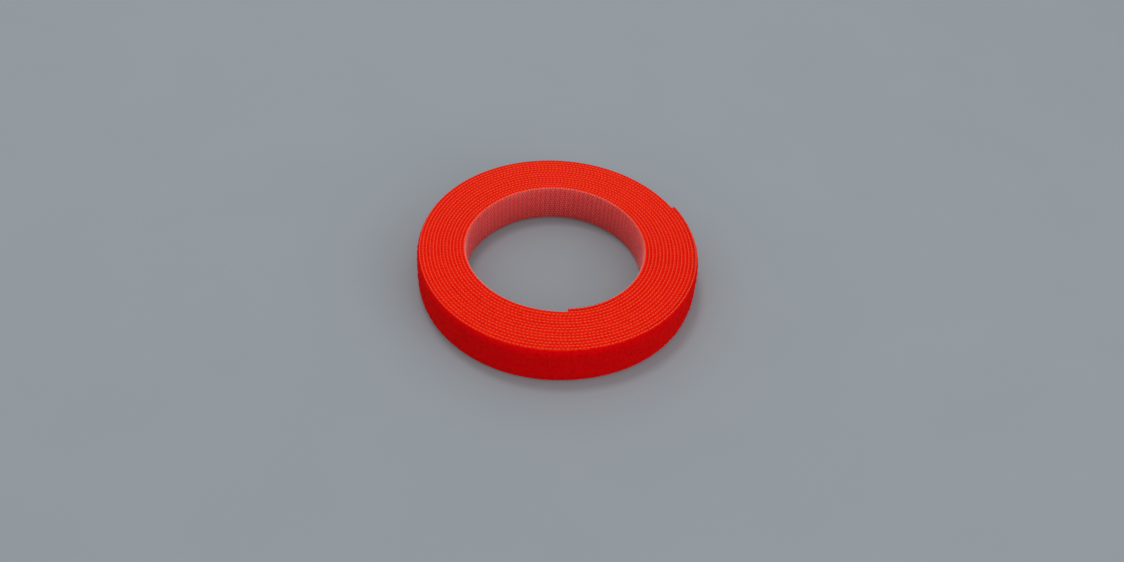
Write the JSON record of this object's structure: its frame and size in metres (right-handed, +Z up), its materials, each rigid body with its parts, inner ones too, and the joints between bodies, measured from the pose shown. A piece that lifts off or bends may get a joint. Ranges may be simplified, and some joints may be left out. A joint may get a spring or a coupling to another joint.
{
  "type": "hook and loop tape roll",
  "caption": "Coreless roll of back-to-back hook and loop tape lying flat, hooks towards the bore and loops outwards, with an outer tail and an inner lead that peel off.",
  "frame": {"origin": "bottom centre of the roll's bounding box, which lies 0.6 mm from the winding's own axis", "axes": "+Z up along the winding's axis, +X to the right and +Y away from the viewer of the picture"},
  "size_m": [0.1377, 0.1368, 0.02],
  "materials": {
    "hook_strip": "thin moulded plastic with rows of small hooks, slightly translucent",
    "loop_strip": "brushed knitted loop pile with a firm knitted edge"
  },
  "bodies": {
    "winding": {"hook_winding": "hook_strip", "loop_winding": "loop_strip"},
    "tail_1": {"hook_tail_1": "hook_strip", "loop_tail_1": "loop_strip"},
    "tail_2": {"hook_tail_2": "hook_strip", "loop_tail_2": "loop_strip"},
    "tail_3": {"hook_tail_3": "hook_strip", "loop_tail_3": "loop_strip"},
    "tail_4": {"hook_tail_4": "hook_strip", "loop_tail_4": "loop_strip"},
    "tail_5": {"hook_tail_5": "hook_strip", "loop_tail_5": "loop_strip"},
    "tail_6": {"hook_tail_6": "hook_strip", "loop_tail_6": "loop_strip"},
    "tail_7": {"hook_tail_7": "hook_strip", "loop_tail_7": "loop_strip"},
    "tail_8": {"hook_tail_8": "hook_strip", "loop_tail_8": "loop_strip"},
    "lead_1": {"hook_lead_1": "hook_strip", "loop_lead_1": "loop_strip"},
    "lead_2": {"hook_lead_2": "hook_strip", "loop_lead_2": "loop_strip"},
    "lead_3": {"hook_lead_3": "hook_strip", "loop_lead_3": "loop_strip"}
  },
  "joints": [
    {"name": "tail_peel", "type": "hinge", "parent": "winding", "child": "tail_1", "pos_m": [0.04394, -0.05245, 0.01], "axis": [0, 0, -1], "range_deg": [0, 22.5]},
    {"name": "tail_bend_2", "type": "hinge", "parent": "tail_1", "child": "tail_2", "pos_m": [0.05249, -0.04397, 0.01], "axis": [0, 0, -1], "range_deg": [0, 22.5]},
    {"name": "tail_bend_3", "type": "hinge", "parent": "tail_2", "child": "tail_3", "pos_m": [0.05944, -0.03413, 0.01], "axis": [0, 0, -1], "range_deg": [0, 22.5]},
    {"name": "tail_bend_4", "type": "hinge", "parent": "tail_3", "child": "tail_4", "pos_m": [0.06458, -0.02322, 0.01], "axis": [0, 0, -1], "range_deg": [0, 22.5]},
    {"name": "tail_bend_5", "type": "hinge", "parent": "tail_4", "child": "tail_5", "pos_m": [0.06775, -0.01158, 0.01], "axis": [0, 0, -1], "range_deg": [0, 22.5]},
    {"name": "tail_bend_6", "type": "hinge", "parent": "tail_5", "child": "tail_6", "pos_m": [0.06885, 0.00044, 0.01], "axis": [0, 0, -1], "range_deg": [0, 22.5]},
    {"name": "tail_bend_7", "type": "hinge", "parent": "tail_6", "child": "tail_7", "pos_m": [0.06785, 0.01249, 0.01], "axis": [0, 0, -1], "range_deg": [0, 22.5]},
    {"name": "tail_bend_8", "type": "hinge", "parent": "tail_7", "child": "tail_8", "pos_m": [0.06476, 0.02418, 0.01], "axis": [0, 0, -1], "range_deg": [0, 22.5]},
    {"name": "lead_peel", "type": "hinge", "parent": "winding", "child": "lead_1", "pos_m": [0.02697, -0.03223, 0.01], "axis": [0, 0, -1], "range_deg": [0, 20]},
    {"name": "lead_bend_2", "type": "hinge", "parent": "lead_1", "child": "lead_2", "pos_m": [0.02085, -0.03645, 0.01], "axis": [0, 0, -1], "range_deg": [0, 20]},
    {"name": "lead_bend_3", "type": "hinge", "parent": "lead_2", "child": "lead_3", "pos_m": [0.01411, -0.03954, 0.01], "axis": [0, 0, -1], "range_deg": [0, 20]}
  ],
  "couplings": [
    {"joint": "tail_bend_2", "follows": "tail_peel", "ratio": 1},
    {"joint": "tail_bend_3", "follows": "tail_peel", "ratio": 1},
    {"joint": "tail_bend_4", "follows": "tail_peel", "ratio": 1},
    {"joint": "tail_bend_5", "follows": "tail_peel", "ratio": 1},
    {"joint": "tail_bend_6", "follows": "tail_peel", "ratio": 1},
    {"joint": "tail_bend_7", "follows": "tail_peel", "ratio": 1},
    {"joint": "tail_bend_8", "follows": "tail_peel", "ratio": 1},
    {"joint": "lead_bend_2", "follows": "lead_peel", "ratio": 1},
    {"joint": "lead_bend_3", "follows": "lead_peel", "ratio": 1}
  ]
}
